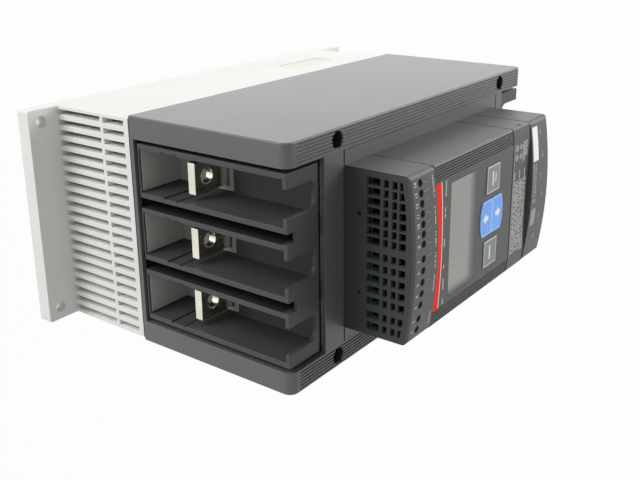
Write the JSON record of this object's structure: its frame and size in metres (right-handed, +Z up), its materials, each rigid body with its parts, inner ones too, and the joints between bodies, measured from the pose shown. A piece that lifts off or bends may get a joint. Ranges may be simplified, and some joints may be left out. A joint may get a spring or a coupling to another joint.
{
  "type": "soft starter",
  "caption": "Wall-mounted three-phase soft starter: light finned base with slotted ends, dark ribbed housing with open terminal trays, and a front module with display and keys.",
  "frame": {"origin": "centre of the four mounting holes, on the mounting plane", "axes": "+Z up, towards the line terminals; -Y out of the wall, towards the keypad; +X to the right, seen from the front"},
  "size_m": [0.131, 0.217, 0.295],
  "materials": {
    "light_plastic": "fine grain",
    "dark_plastic": "fine grain",
    "shroud_plastic": "fine grain",
    "module_plastic": "fine grain",
    "panel_plastic": "fine grain",
    "heat_sink_metal": "mill",
    "tinned_bar": "tinned",
    "screw_steel": "zinc plated",
    "black_plastic": "plain",
    "blue_plastic": "plain",
    "green_plastic": "plain",
    "board": "solder mask",
    "window": "clear over grey",
    "display": "plain",
    "grey_key": "satin",
    "blue_key": "satin",
    "red_print": "printed",
    "white_tag": "plain",
    "mat_rubber": "matte"
  },
  "bodies": {
    "starter": {"base_housing": "light_plastic", "heat_sink": "heat_sink_metal", "heat_sink_screws": "screw_steel", "left_fan_frame": "black_plastic", "right_fan_frame": "black_plastic", "front_housing": "dark_plastic", "cover_screws": "screw_steel", "line_shroud": "shroud_plastic", "load_shroud": "shroud_plastic", "line_bar_1": "tinned_bar", "line_bar_2": "tinned_bar", "line_bar_3": "tinned_bar", "load_bar_1": "tinned_bar", "load_bar_2": "tinned_bar", "load_bar_3": "tinned_bar", "thyristor_module_1": "black_plastic", "thyristor_module_2": "black_plastic", "thyristor_module_3": "black_plastic", "module_screws": "screw_steel", "bar_screws": "screw_steel", "current_sensor_1": "blue_plastic", "current_sensor_2": "blue_plastic", "current_sensor_3": "blue_plastic", "bypass_relay_1": "black_plastic", "bypass_relay_2": "black_plastic", "bypass_relay_3": "black_plastic", "power_board": "board", "power_board_screws": "screw_steel", "module_carrier": "dark_plastic", "carrier_screws": "screw_steel", "board_link": "black_plastic", "control_board": "board", "control_board_screws": "screw_steel", "relay_connector": "green_plastic", "input_connector": "green_plastic", "supply_connector": "green_plastic", "connector_screws": "screw_steel", "upper_cap": "module_plastic", "display_cover": "panel_plastic", "service_cover": "panel_plastic", "lower_cap": "module_plastic", "display_window": "window", "display_panel": "display", "keypad_board": "board", "keypad_board_screws": "screw_steel", "key_mat": "mat_rubber", "red_strip": "red_print", "marker_tag": "white_tag"},
    "left_key": {"left_key": "grey_key"},
    "right_key": {"right_key": "grey_key"},
    "up_key": {"up_key": "blue_key"},
    "down_key": {"down_key": "blue_key"},
    "left_fan": {"left_fan_rotor": "black_plastic"},
    "right_fan": {"right_fan_rotor": "black_plastic"}
  },
  "joints": [
    {"name": "left_key_press", "type": "slide", "parent": "starter", "child": "left_key", "axis": [0, 1, 0], "range_m": [0, 0.0005], "stiffness_N_per_m": 1000},
    {"name": "right_key_press", "type": "slide", "parent": "starter", "child": "right_key", "axis": [0, 1, 0], "range_m": [0, 0.0005], "stiffness_N_per_m": 1000},
    {"name": "up_key_press", "type": "slide", "parent": "starter", "child": "up_key", "axis": [0, 1, 0], "range_m": [0, 0.0005], "stiffness_N_per_m": 1000},
    {"name": "down_key_press", "type": "slide", "parent": "starter", "child": "down_key", "axis": [0, 1, 0], "range_m": [0, 0.0005], "stiffness_N_per_m": 1000},
    {"name": "left_fan_spin", "type": "hinge", "parent": "starter", "child": "left_fan", "pos_m": [-0.03025, -0.034, -0.109], "axis": [0, 0, 1], "continuous": true},
    {"name": "right_fan_spin", "type": "hinge", "parent": "starter", "child": "right_fan", "pos_m": [0.03025, -0.034, -0.109], "axis": [0, 0, 1], "continuous": true}
  ]
}
